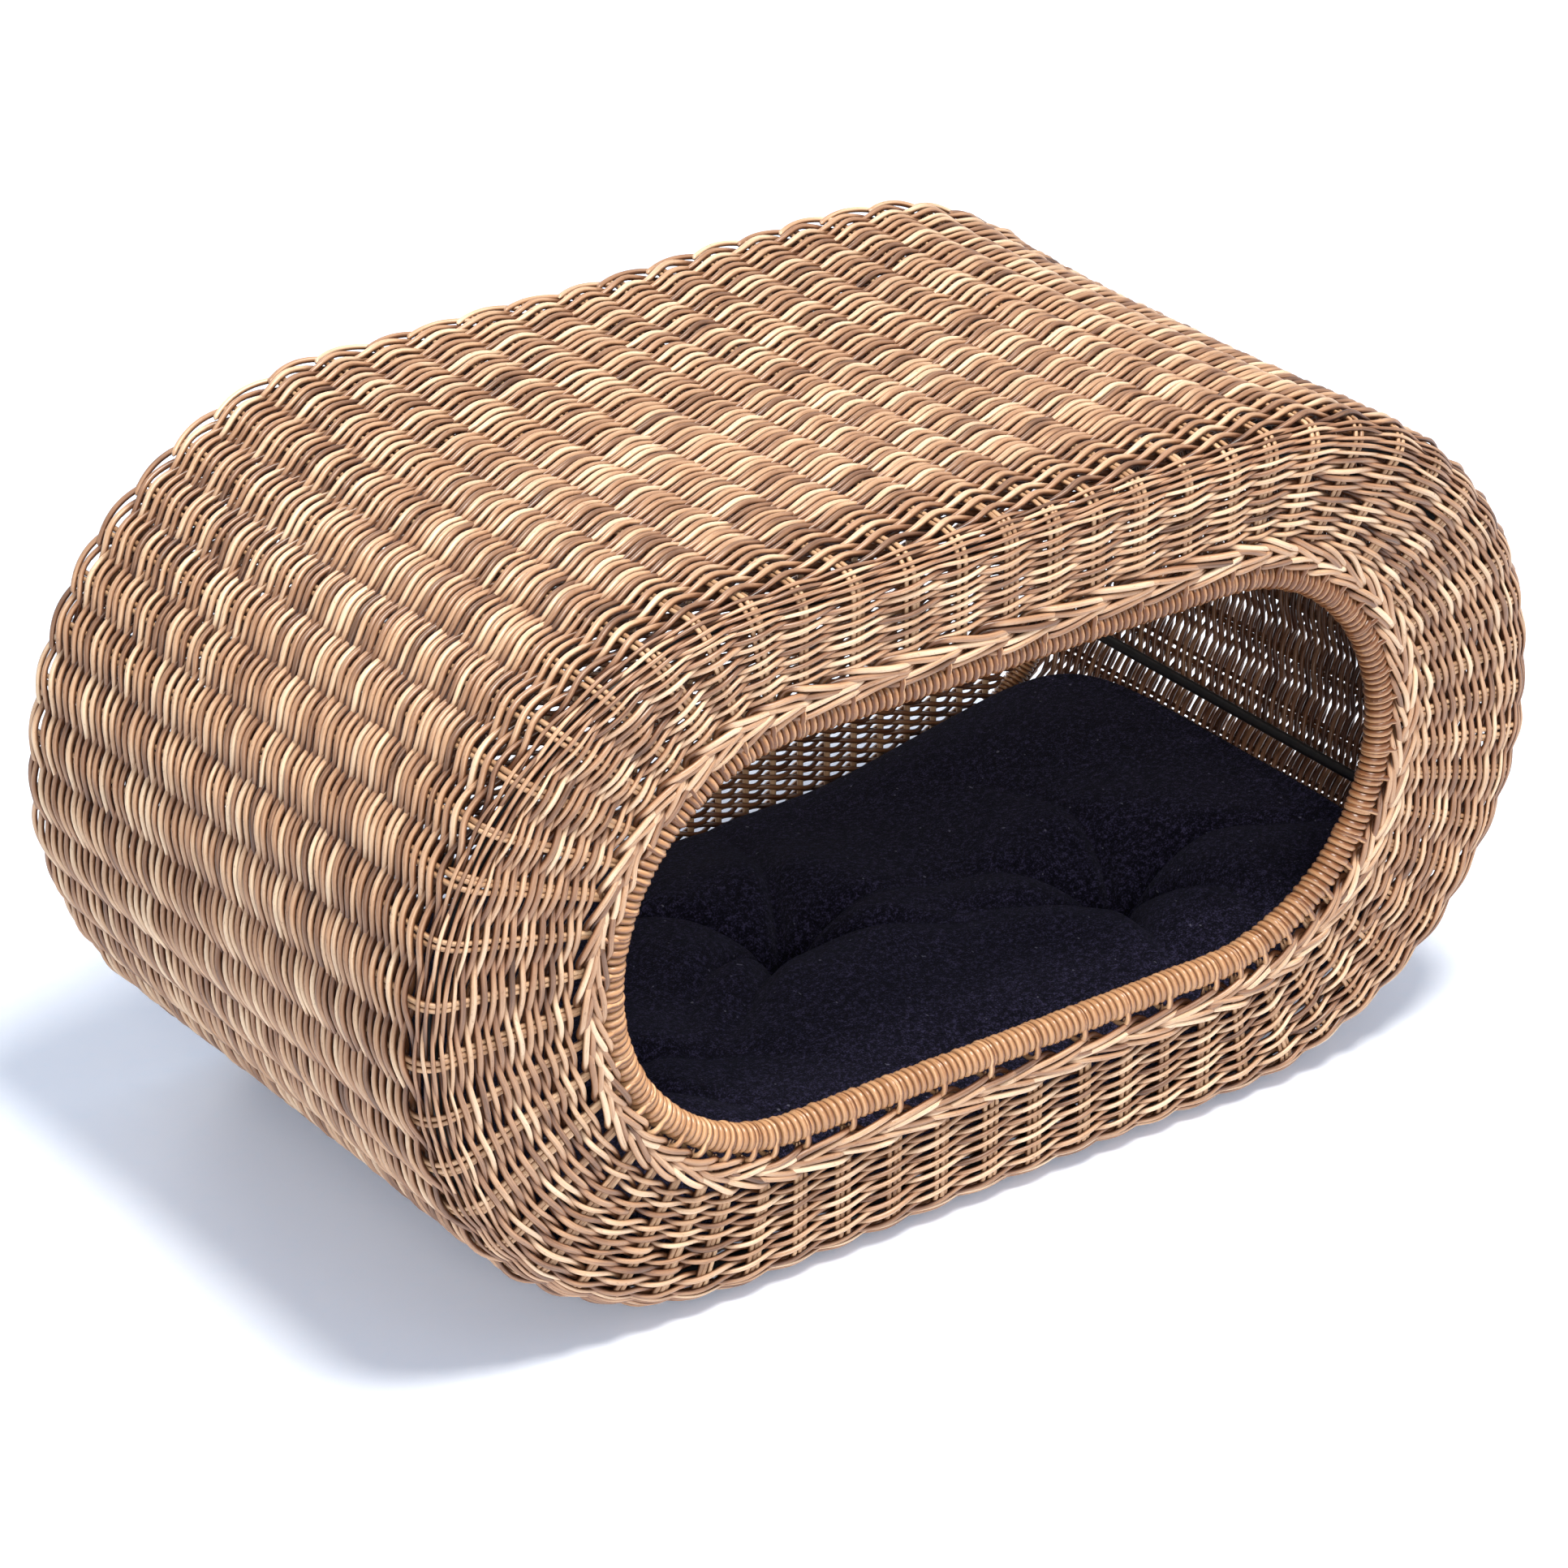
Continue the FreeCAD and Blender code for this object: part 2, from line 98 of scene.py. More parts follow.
def generator(u):
    """Foot, normal, direction to the rim and distance to it, for a place round the wall in stakes."""
    along = np.asarray(u, float) * PITCH
    fx, fz, nx, nz = stadium(along, OUTER_HALF, OUTER_RADIUS)
    rx, rz, _, _ = stadium(rim_distance(along), RIM_HALF, RIM_RADIUS)
    dx, dz = rx - fx, rz + RIM_CENTRE - fz - OUTER_CENTRE
    length = np.hypot(dx, dz)
    return fx, fz + OUTER_CENTRE, nx, nz, dx / length, dz / length, length


def end_share(u):
    """1 in the middle of the round ends, 0 on the top and bottom straights."""
    along = np.mod(np.asarray(u, float) * PITCH, 2 * OUTER_QUARTER)
    return smooth(1 - np.abs(along - OUTER_QUARTER) / OUTER_QUARTER, 0.30, 1.0)


def top_share(u):
    """1 on the top, 0 on the bottom."""
    _, z, _, _ = stadium(np.asarray(u, float) * PITCH, OUTER_HALF, OUTER_RADIUS)
    return smooth(z / OUTER_RADIUS, -0.2, 0.9)


def swell(u, v):
    """How far the hand-woven wall stands out of its true shape."""
    depth = np.clip(v / WALL_LENGTH, -0.1, 1)
    waist = -2.6 * np.sin(math.pi * np.clip(depth, 0, 1)) * (0.35 + 0.65 * top_share(u))
    flare = 2.2 * smooth(-v, -26, 4) * top_share(u)
    wave = (0.9 * np.sin(u * 0.71 + 1.3 + v * 0.011) + 0.7 * np.sin(u * 1.37 - v * 0.017 + 0.4)
            + 0.45 * np.sin(u * 0.29 + v * 0.041 + 2.0))
    return waist + flare + 0.6 * wave * smooth(top_share(u), -0.4, 0.6)


def wall(u, v, out):
    """A point of the woven wall and the wall's outward direction there.

    u counts stakes round the wall, v runs forward from the back edge, round the corner and down
    the face, and out is the height above the middle of the weave.
    """
    u, v, out = np.broadcast_arrays(*(np.asarray(a, float) for a in (u, v, out)))
    fx, fz, nx, nz, ix, iz, _ = generator(u)
    angle = np.clip((v - WALL_LENGTH) / BEND, 0, math.pi / 2)
    inward = BEND * (1 - np.cos(angle)) + np.maximum(v - WALL_LENGTH - BEND_LENGTH, 0)
    turn = smooth(v, WALL_LENGTH - 100, WALL_LENGTH)
    ox, oz = nx * (1 - turn) - ix * turn, nz * (1 - turn) - iz * turn
    size = np.hypot(ox, oz)
    ox, oz = ox / size, oz / size
    lift = out + swell(u, v) * (1 - angle / (math.pi / 2))
    ahead = -np.sin(angle)
    x = fx + ix * inward + ox * np.cos(angle) * lift
    z = fz + iz * inward + oz * np.cos(angle) * lift
    y = BACK - np.minimum(v, WALL_LENGTH) - BEND * np.sin(angle) + ahead * lift
    points = np.stack([x, y, np.maximum(z, STRAND)], -1)
    normals = np.stack([ox * np.cos(angle), ahead, oz * np.cos(angle)], -1)
    return points, normals


# ---------------------------------------------------------------- meshes

def wander(rng, rows, u, lowest, highest, period=STAKES):
    """Soft random waves that close on themselves, one row for each strand."""
    total = np.zeros((rows, u.shape[-1]))
    for k in range(lowest, highest + 1):
        phase = rng.uniform(0, TAU, (rows, 1))
        total += rng.normal(0, 1, (rows, 1)) * np.sin(TAU * k * u / period + phase)
    return total / math.sqrt((highest - lowest + 1) / 2)


def unit(vectors):
    """Vectors scaled to length 1."""
    return vectors / np.maximum(np.linalg.norm(vectors, axis=-1, keepdims=True), 1e-9)


def tubes(name, paths, ups, radius, sides, closed, rng, depth=2.0, painted_side_shade=0.64):
    """One mesh of round strands. paths and ups are (strands, samples, 3), radius and depth fit them.

    depth is how far the centre line stands out of the middle of the weave, which sets the painted shade
    deep in the weave, and the last argument is how dark the painted shade down the sides of a strand is.
    """
    strands, samples, _ = paths.shape
    if closed:
        tangent = np.roll(paths, -1, 1) - np.roll(paths, 1, 1)
    else:
        tangent = np.gradient(paths, axis=1)
    tangent = unit(tangent)
    side = unit(np.cross(tangent, ups))
    up = np.cross(side, tangent)
    radius = np.broadcast_to(np.asarray(radius, float), (strands, samples)).copy()
    if not closed:
        radius[:, [0, -1]] *= 0.25
    angle = np.arange(sides) * TAU / sides
    across = (up[:, :, None, :] * np.cos(angle)[None, None, :, None]
              + side[:, :, None, :] * np.sin(angle)[None, None, :, None])
    points = paths[:, :, None, :] + across * radius[:, :, None, None]
    step = np.linalg.norm(np.diff(paths, axis=1), axis=-1)
    run = np.concatenate([np.zeros((strands, 1)), np.cumsum(step, 1)], 1)
    offset = rng.uniform(0, 5000, (strands, 1))
    grain = np.stack([np.broadcast_to((run + offset)[:, :, None], (strands, samples, sides)),
                      np.broadcast_to(radius[:, :, None] * np.cos(angle), (strands, samples, sides)),
                      np.broadcast_to(radius[:, :, None] * np.sin(angle), (strands, samples, sides))], -1)
    tone = GOLDEN * np.arange(strands)[:, None, None] + TONE_CHANCE * rng.uniform(0, 1, (strands, 1, 1))
    tone = np.mod(tone, 1)
    shade = np.broadcast_to(tone, (strands, samples, sides))
    depth = np.broadcast_to(np.asarray(depth, float), (strands, samples))[:, :, None]
    # painted shade: the mask is 0 deep in the weave and 1 on the outermost side of a strand
    painted_shade_mask = smooth(0.9 * depth + 2.1 * np.cos(angle), -0.6, 3.3)
    # painted shade down the sides of each strand
    painted_shade_mask = painted_shade_mask * (1 - painted_side_shade + painted_side_shade * smooth(np.cos(angle), -0.15, 0.5))
    rings = samples if closed else samples - 1
    s, i, k = np.meshgrid(np.arange(strands), np.arange(rings), np.arange(sides), indexing="ij")
    corner = lambda di, dk: ((s * samples + (i + di) % samples) * sides + (k + dk) % sides)
    faces = np.stack([corner(0, 0), corner(0, 1), corner(1, 1), corner(1, 0)], -1).reshape(-1, 4)
    bake = lambda di, dk: np.stack([(i + di) / rings, (s + 0.04 + 0.92 * (k + dk) / sides) / strands], -1)
    uv = np.stack([bake(0, 0), bake(0, 1), bake(1, 1), bake(1, 0)], -2).reshape(-1, 2)
    return build(name, points.reshape(-1, 3), faces, uv, grain.reshape(-1, 3), shade.reshape(-1),
                 painted_shade_mask.reshape(-1))


def build(name, points, faces, uv, grain=None, shade=None, painted_shade_mask=None):
    """A smooth mesh of quads, in metres, with its bake layout and its strand attributes."""
    mesh = bpy.data.meshes.new(name)
    mesh.vertices.add(len(points))
    mesh.vertices.foreach_set("co", (points * MM).astype(np.float32).ravel())
    mesh.loops.add(faces.size)
    mesh.loops.foreach_set("vertex_index", faces.astype(np.int32).ravel())
    mesh.polygons.add(len(faces))
    mesh.polygons.foreach_set("loop_start", np.arange(0, faces.size, 4, dtype=np.int32))
    mesh.update(calc_edges=True)
    mesh.validate()
    mesh.polygons.foreach_set("use_smooth", np.ones(len(mesh.polygons), bool))
    layer = mesh.uv_layers.new(name="OFBake")
    layer.data.foreach_set("uv", uv.astype(np.float32).ravel())
    if grain is not None:
        item = mesh.attributes.new("grain", "FLOAT_VECTOR", "POINT")
        item.data.foreach_set("vector", (grain * MM).astype(np.float32).ravel())
        # shade holds each strand's own tone; the other attribute is the painted shade mask
        for label, values in (("shade", shade), ("painted_shade_mask", painted_shade_mask)):
            item = mesh.attributes.new(label, "FLOAT", "POINT")
            item.data.foreach_set("value", values.astype(np.float32))
    piece = bpy.data.objects.new(name, mesh)
    bpy.context.scene.collection.objects.link(piece)
    return piece


def finish_piece(piece, material, body, slot, *nodes):
    """Give a piece its material and body, and hide the CAD nodes that it replaces."""
    piece.data.materials.append(material)
    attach(piece, body)
    if nodes:
        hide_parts(*nodes)
    return piece


# ---------------------------------------------------------------- materials

def new_material(name):
    """A material with its node tree and its Principled shader."""
    material = bpy.data.materials.new(name)
    material.use_nodes = True
    tree = material.node_tree
    return material, tree, tree.nodes["Principled BSDF"]


def add(tree, kind, **values):
    """A node with its settings and sockets set by name."""
    node = tree.nodes.new(kind)
    for key, value in values.items():
        if hasattr(node, key):
            setattr(node, key, value)
        else:
            node.inputs[key].default_value = value
    return node


def ramp(tree, source, stops):
    """A colour ramp from (position, colour) stops."""
    node = tree.nodes.new("ShaderNodeValToRGB")
    elements = node.color_ramp.elements
    while len(elements) < len(stops):
        elements.new(0.5)
    for element, (position, colour) in zip(elements, stops):
        element.position = position
        element.color = (*colour, 1)
    tree.links.new(source, node.inputs["Fac"])
    return node.outputs["Color"]


def maths(tree, operation, first, second):
    """A Math node of two values or sockets."""
    node = add(tree, "ShaderNodeMath", operation=operation)
    for socket, value in zip(node.inputs, (first, second)):
        if isinstance(value, (int, float)):
            socket.default_value = value
        else:
            tree.links.new(value, socket)
    return node.outputs[0]


def line(tree, source, slope, start):
    """start + slope * source."""
    result = maths(tree, "MULTIPLY_ADD", source, slope)
    result.node.inputs[2].default_value = start
    return result


def mix(tree, mode, factor, first, second):
    """Two colours blended: each may be a socket or a plain colour."""
    node = add(tree, "ShaderNodeMix", data_type="RGBA", blend_type=mode)
    for name, value in (("Factor", factor), ("A", first), ("B", second)):
        socket = [s for s in node.inputs if s.name == name and s.enabled][0]
        if isinstance(value, (int, float)):
            socket.default_value = value
        elif isinstance(value, tuple):
            socket.default_value = (*value, 1)
        else:
            tree.links.new(value, socket)
    return [s for s in node.outputs if s.enabled][0]


def noise(tree, vector, scale, detail=3.0, roughness=0.5, stretch=(1, 1, 1), offset=(0, 0, 0)):
    """Noise over a vector that is first stretched axis by axis."""
    mapping = tree.nodes.new("ShaderNodeMapping")
    mapping.inputs["Scale"].default_value = stretch
    mapping.inputs["Location"].default_value = offset
    tree.links.new(vector, mapping.inputs["Vector"])
    node = tree.nodes.new("ShaderNodeTexNoise")
    node.inputs["Scale"].default_value = scale
    node.inputs["Detail"].default_value = detail
    node.inputs["Roughness"].default_value = roughness
    tree.links.new(mapping.outputs[0], node.inputs["Vector"])
    return node.outputs["Fac"]


def roughen(tree, shader, height, strength, distance):
    """Wire a bump of the given height field to a shader."""
    bump = add(tree, "ShaderNodeBump", Strength=strength, Distance=distance)
    tree.links.new(height, bump.inputs["Height"])
    tree.links.new(bump.outputs[0], shader.inputs["Normal"])


def cane(name, stops, dark=0.5, rough=0.36, spread=1.0, patch=0.55):
    """Round cane: streaks and slow changes along each strand, grey patches, specks, painted shade in
    creases.
    """
    material, tree, shader = new_material(name)
    links = tree.links
    lay = add(tree, "ShaderNodeAttribute", attribute_name="grain").outputs["Vector"]
    shade = add(tree, "ShaderNodeAttribute", attribute_name="shade").outputs["Fac"]
    painted_mask = add(tree, "ShaderNodeAttribute", attribute_name="painted_shade_mask").outputs["Fac"]
    place = tree.nodes.new("ShaderNodeTexCoord").outputs["Object"]
    slow = noise(tree, lay, 1.0, 2.0, 0.55, (21.0, 60.0, 60.0))
    streak = noise(tree, lay, 1.0, 3.0, 0.6, (40.0, 1500.0, 1500.0))
    fleck = noise(tree, lay, 1.0, 2.0, 0.5, (600.0, 1100.0, 1100.0))
    cloud = noise(tree, place, 14.0, 2.0, 0.5)
    value = line(tree, shade, 0.42 * spread, -0.21 * spread - 0.09)
    for source, weight in ((slow, 0.75 * spread + 0.1), (streak, 0.40), (cloud, 0.10)):
        value = maths(tree, "ADD", value, maths(tree, "MULTIPLY", source, weight))
    colour = ramp(tree, value, stops)
    grey = ramp(tree, noise(tree, lay, 1.0, 3.0, 0.6, (17.0, 220.0, 220.0), (3.0, 1.0, 2.0)),
                [(0.46, (0, 0, 0)), (0.64, (1, 1, 1))])
    colour = mix(tree, "MULTIPLY", maths(tree, "MULTIPLY", grey, patch), colour, (0.68, 0.61, 0.60))
    specks = ramp(tree, fleck, [(0.62, (0, 0, 0)), (0.73, (1, 1, 1))])
    colour = mix(tree, "MULTIPLY", maths(tree, "MULTIPLY", specks, dark), colour, (0.50, 0.40, 0.34))
    # painted shade: darker deep in the weave and down the sides of each strand
    shadow = ramp(tree, painted_mask, [(0.0, (0.24, 0.15, 0.10)), (0.30, (0.27, 0.18, 0.13)),
                              (0.68, (0.80, 0.72, 0.67)), (0.9, (1, 1, 1))])
    colour = mix(tree, "MULTIPLY", 1.0, colour, shadow)
    links.new(colour, shader.inputs["Base Color"])
    links.new(line(tree, streak, 0.28, rough - 0.14), shader.inputs["Roughness"])
    height = maths(tree, "ADD", maths(tree, "MULTIPLY", streak, 0.8), maths(tree, "MULTIPLY", fleck, 0.35))
    roughen(tree, shader, height, 0.4, 0.0002)
    return material


def srgb(*channels):
    """A display colour of 0 to 255 as the linear colour that nodes take."""
    values = [c / 255 for c in channels]
    return tuple(v / 12.92 if v <= 0.04045 else ((v + 0.055) / 1.055) ** 2.4 for v in values)


BODY_STOPS = [(0.22, srgb(94, 68, 52)), (0.36, srgb(139, 103, 79)), (0.48, srgb(175, 134, 103)),
              (0.62, srgb(204, 164, 129)), (0.80, srgb(235, 206, 172))]
WRAP_STOPS = [(0.22, srgb(186, 138, 98)), (0.40, srgb(218, 171, 127)), (0.56, srgb(236, 195, 150)),
              (0.78, srgb(246, 220, 180))]
STAKE_STOPS = [(0.20, srgb(138, 102, 74)), (0.42, srgb(184, 143, 107)), (0.70, srgb(222, 184, 145))]

cane_body = cane("cane_body", BODY_STOPS)
cane_wrap = cane("cane_wrap", WRAP_STOPS, dark=0.25, rough=0.30, spread=0.45, patch=0.3)
cane_stake = cane("cane_stake", STAKE_STOPS, dark=0.4, rough=0.45, spread=0.7)


# ---------------------------------------------------------------- woven wall

rng = np.random.default_rng(62)
DENSE_ROWS, CORNER_ROWS, OPEN_ROWS = 59, 5, 17
DENSE_START, DENSE_END = 3.0, 288.0
DENSE_LIFT, DENSE_TILT = 2.9, 2.35
ROW_BAND = 12
CREST_SHARPNESS = 1.15


def bottom_share(u):
    """1 on the bottom, 0 from the middle of the ends up."""
    _, z, _, _ = stadium(np.asarray(u, float) * PITCH, OUTER_HALF, OUTER_RADIUS)
    return smooth(-z / OUTER_RADIUS, 0.2, 0.95)


def crest(u, v):
    """The phase of the weave: a whole number of half turns over each stake."""
    return math.pi * (u - 0.5 - shift(u, v))


def shift(u, v):
    """How far a stake stands from its even place, in stakes."""
    drift = 0.10 * np.sin(TAU * 5 * u / STAKES + 1.1) + 0.05 * np.sin(TAU * 11 * u / STAKES)
    return drift + 0.30 * top_share(u) * (0.5 - smooth(v, 0, 260)) * 0.9


def twined(name, u, middle, rng, radius, sides, nodes, lift, tilt, quiet=0.25):
    """Rows of two strands that change places between stakes: middle is (rows, samples).

    lift is how far a strand stands out over a stake, tilt how far apart the two are between stakes,
    and quiet how much a strand strays from its row.
    """
    rows = len(middle)
    phase = crest(u, middle)
    bulge = np.sign(np.cos(phase)) * np.abs(np.cos(phase)) ** CREST_SHARPNESS
    paths, ups, depths = [], [], []
    for sign in (1, -1):
        v = middle + sign * tilt * np.sin(phase) + quiet * wander(rng, rows, u, 9, 40)
        out = sign * lift * bulge * (1 + 0.05 * wander(rng, rows, u, 6, 30))
        out = out + 0.18 * wander(rng, rows, u, 8, 31)
        points, normals = wall(u, v, out)
        paths.append(points)
        ups.append(normals)
        depths.append(out)
    paths, ups, depths = np.concatenate(paths), np.concatenate(ups), np.concatenate(depths)
    radius = np.concatenate([np.broadcast_to(radius, (rows, len(u)))] * 2)
    thick = radius * (1 + 0.06 * rng.normal(0, 1, (2 * rows, 1))
                      + 0.025 * wander(rng, 2 * rows, u, 3, 12))
    piece = tubes(name, paths, ups, thick, sides, True, rng, depths)
    finish_piece(piece, cane_body, "basket", "cane", *nodes)


def dense_middles(u):
    """Where each close row runs: the rows widen towards the front corner."""
    row = np.arange(DENSE_ROWS)[:, None]
    left = DENSE_ROWS - 1 - row
    ends = end_share(u)[None, :]
    spacing = (4.95 - 0.75 * smooth(row, 18, 30) + 4.4 * (1 - ends) * (1 - smooth(left, -1, 6))
               + 1.5 * ends * (1 - smooth(left, 0, 10)))
    share = (np.cumsum(spacing, 0) - 0.5 * spacing) / spacing.sum(0)
    return DENSE_START + (DENSE_END - DENSE_START) * share


def dense_rows(rng):
    """The close weave, thinner in the middle of the right end, where light shows through it."""
    u = np.arange(STAKES * 8) / 8
    middles = dense_middles(u)
    thick = STRAND - 0.2 * smooth(7 - np.abs(u - RIGHT_MIDDLE), -1, 2)
    for band, first in enumerate(range(0, DENSE_ROWS, ROW_BAND)):
        twined("side_rows_%d" % (band + 1), u, middles[first:first + ROW_BAND], rng, thick, 7,
               ["side_weave"] if band == 0 else [], DENSE_LIFT, DENSE_TILT)


dense_rows(rng)

# open rows round the front corner and over the face: some run all the way, and these only round the
# ends, as far from the middle of an end as the second number says in stakes
SHORT_ROWS = {7: 9.0, 9: 7.8, 12: 6.6, 14: 5.6}
FACE_LIFT, FACE_TILT = 2.0, 0.9


def end_distance(u):
    """Stakes between a place and the middle of the nearest round end."""
    return np.minimum(np.abs(u - RIGHT_MIDDLE), np.abs(u - LEFT_MIDDLE))


def rim_v(u):
    """The distance along the wall at which the middle of the rim lies."""
    return WALL_LENGTH + BEND_LENGTH + generator(u)[-1] - BEND


def border_start(u):
    """Where the open rows meet the plaited border."""
    return rim_v(u) - 17.0 - 6.0 * bottom_share(u) - 1.5 * end_share(u)


def open_middles(u):
    """Where each open row runs: the rows share out the way from the close weave to the border."""
    weights = []
    for index in range(OPEN_ROWS):
        if index < CORNER_ROWS:
            weights.append(0.70 - 0.40 * bottom_share(u))
        elif index in SHORT_ROWS:
            weights.append(smooth(SHORT_ROWS[index] - end_distance(u), -1.2, 1.6))
        else:
            weights.append(np.ones_like(u))
    weights = np.array(weights)
    share = (np.cumsum(weights, 0) - 0.5 * weights) / weights.sum(0)
    return DENSE_END + (border_start(u) - DENSE_END) * share


def open_rows(rng):
    """The thin rows in the corner and the rows of the face that run all the way round."""
    u = np.arange(STAKES * 12) / 12
    middles = open_middles(u)
    twined("corner_rows", u, middles[:CORNER_ROWS], rng, 0.92, 8, [], 1.6, 0.3)
    full = [i for i in range(CORNER_ROWS, OPEN_ROWS) if i not in SHORT_ROWS]
    twined("face_rows", u, middles[full], rng, 1.15 + 0.2 * end_share(u), 8, ["front_weave"],
           FACE_LIFT, FACE_TILT + 0.8 * bottom_share(u), quiet=0.2)


def short_rows(name, middle_u, rng):
    """Short rows at one end: each strand starts and stops tucked behind the others."""
    number = 0
    for index, usual_reach in SHORT_ROWS.items():
        reach = usual_reach + rng.uniform(-0.4, 0.4)
        u = np.linspace(middle_u - reach, middle_u + reach, int(reach * 24))
        middle = open_middles(u)[index]
        edge = reach - np.abs(u - middle_u)
        tuck = -4.5 * (1 - smooth(edge, 0, 0.8))
        phase = crest(u, middle)
        fade = smooth(edge, 0.0, 0.6)
        for sign in (1, -1):
            number += 1
            v = middle + sign * FACE_TILT * np.sin(phase) * fade + 0.4 * wander(rng, 1, u, 9, 40)[0]
            out = sign * FACE_LIFT * np.cos(phase) * fade + tuck
            points, normals = wall(u, v, out)
            thick = STRAND * (1 + 0.05 * rng.normal())
            piece = tubes("%s_%d" % (name, number), points[None], normals[None], thick, 8, False, rng,
                          out[None])
            finish_piece(piece, cane_body, "basket", "cane")


open_rows(rng)
short_rows("short_row_right", RIGHT_MIDDLE, rng)
short_rows("short_row_left", LEFT_MIDDLE, rng)

# ---------------------------------------------------------------- stakes

STAKE_ROD, STAKE_GAP = 1.2, 1.5
STAKE_DEPTH = 1.2
INSERTED_SHARE = 0.6


def stakes(name, indices, rng, node):
    """The pairs of rods that the strands are woven round."""
    paths, ups = [], []
    for index in indices:
        centre = index + 0.5
        last = rim_v(centre) - 6.5
        for side in (-STAKE_GAP, STAKE_GAP):
            v = np.linspace(-1.0, last, 110)
            wave = 0.35 * np.sin(v * 0.021 + rng.uniform(0, TAU))
            wave = wave + 0.2 * np.sin(v * 0.09 + rng.uniform(0, TAU))
            points, normals = wall(centre + shift(centre, v) + (side + wave) / PITCH, v, 0.35)
            paths.append(points)
            ups.append(normals)
    thick = STAKE_ROD * (1 + 0.05 * rng.normal(0, 1, (len(paths), 1)))
    piece = tubes(name, np.array(paths), np.array(ups), thick, 8, False, rng, STAKE_DEPTH)
    finish_piece(piece, cane_stake, "basket", "stake_cane", node)


def inserted_rods(name, indices, rng):
    """Extra rods pushed in beside some stakes where the face begins."""
    paths, ups = [], []
    for index in indices:
        centre = index + 0.5
        side = rng.choice([-1, 1]) * (STAKE_GAP * 2 + 0.6)
        v = np.linspace(rng.uniform(276, 300), rim_v(centre) - rng.uniform(14, 22), 24)
        slant = side + rng.uniform(-0.9, 0.9) * (v - v[0]) / 60
        points, normals = wall(centre + shift(centre, v) + slant / PITCH, v, rng.uniform(-0.4, 0.5))
        paths.append(points)
        ups.append(normals)
    piece = tubes(name, np.array(paths), np.array(ups), STAKE_ROD * 0.95, 8, False, rng,
                  STAKE_DEPTH)
    finish_piece(piece, cane_stake, "basket", "stake_cane")


def region(index):
    """The side of the basket on which a stake starts."""
    foot_x, foot_z = generator(index + 0.5)[:2]
    if abs(foot_x) <= OUTER_HALF:
        return "top" if foot_z > OUTER_CENTRE else "bottom"
    return "right" if foot_x > 0 else "left"


for side in ("top", "bottom", "left", "right"):
    stakes("stake_rods_" + side, [i for i in range(STAKES) if region(i) == side], rng, "stakes_" + side)
inserted_rods("inserted_rods", np.flatnonzero(rng.uniform(size=STAKES) < INSERTED_SHARE), rng)

# ---------------------------------------------------------------- opening: rim, ties and plait

RIM_PLANE, WRAP_RADIUS, WRAP_STRAND, WRAP_PITCH = -146.25, 4.75, 1.66, 3.35
RIM_LENGTH = 4 * RIM_QUARTER
TIE_STRAND = 1.3


def round_rim(around, radius, angle):
    """A point beside the rim: angle 0 is straight ahead, a quarter turn is away from the opening."""
    x, z, nx, nz = stadium(around, RIM_HALF, RIM_RADIUS)
    away = radius * np.sin(angle)
    points = np.stack([x + nx * away, RIM_PLANE - radius * np.cos(angle), z + RIM_CENTRE + nz * away], -1)
    return points, np.stack([nz, np.zeros_like(nx), -nx], -1)


def rim_wrap(rng):
    """One cane wound round the hoop of the opening."""
    turns = int(round(RIM_LENGTH / WRAP_PITCH))
    angle = np.arange(turns * 18) * TAU / 18
    around = angle / TAU * RIM_LENGTH / turns
    lumps = 0.14 * wander(rng, 1, around, 60, 320, RIM_LENGTH)[0]
    points, ups = round_rim(around, WRAP_RADIUS + lumps, angle)
    thick = WRAP_STRAND * (1 + 0.04 * wander(rng, 1, around, 40, 200, RIM_LENGTH))
    # the wrap's turns get only a little painted shade down their sides
    piece = tubes("rim_wrap", points[None], ups[None], thick, 8, True, rng, painted_side_shade=0.2)
    finish_piece(piece, cane_wrap, "basket", "cane_wrap", "opening_wrap")


def rim_ties(rng):
    """A loop at each pair of stakes that holds the rim."""
    t = np.linspace(0, TAU, 40, endpoint=False)
    paths, ups = [], []
    for index in range(STAKES):
        centre = rim_distance((index + 0.5) * PITCH)
        reach = 5.2 + 4.2 * smooth(np.sin(t), 0.35, 1.0) + rng.uniform(-0.1, 0.3)
        lean = centre + 1.0 * np.cos(t) + rng.uniform(-1.5, 1.5)
        points, normals = round_rim(lean, reach, t)
        paths.append(points)
        ups.append(normals)
    piece = tubes("rim_ties", np.array(paths), np.array(ups), TIE_STRAND, 8, True, rng)
    finish_piece(piece, cane_wrap, "basket", "cane_wrap", "opening_ties")


BORDER_PLANE, BORDER_PERIODS, BORDER_HALF, MEMBERS = -150.0, 15, 4.7, 4
BORDER_STRAND, BORDER_PAIR = 1.4, 1.5


def plait(member, pair, u, rng):
    """One cane of the plait: slow and on top from the middle out to an edge, then quickly back below."""
    halves = 2 * (u * BORDER_PERIODS / STAKES + member / MEMBERS)
    half = np.floor(halves)
    run = halves - half
    turn = run / (run + 3.4 * (1 - run))
    side = np.where(half % 2 == 0, 1.0, -1.0)
    across = side * BORDER_HALF * np.sin(math.pi * turn) + pair
    below = 1 - smooth(run, 0, 0.2) + smooth(run, 0.64, 0.95)
    rise = 1.8 * np.sin(math.pi * np.clip(run / 0.9, 0, 1)) - 2.3 * below
    rise = rise + 0.25 * wander(rng, 1, u, 10, 40)[0]
    fx, fz, _, _, ix, iz, length = generator(u)
    from_rim = 10.8 + 3.8 * bottom_share(u) + across + 0.35 * wander(rng, 1, u, 8, 40)[0]
    inward = length - from_rim
    return np.stack([fx + ix * inward, BORDER_PLANE - rise, fz + iz * inward], -1), rise


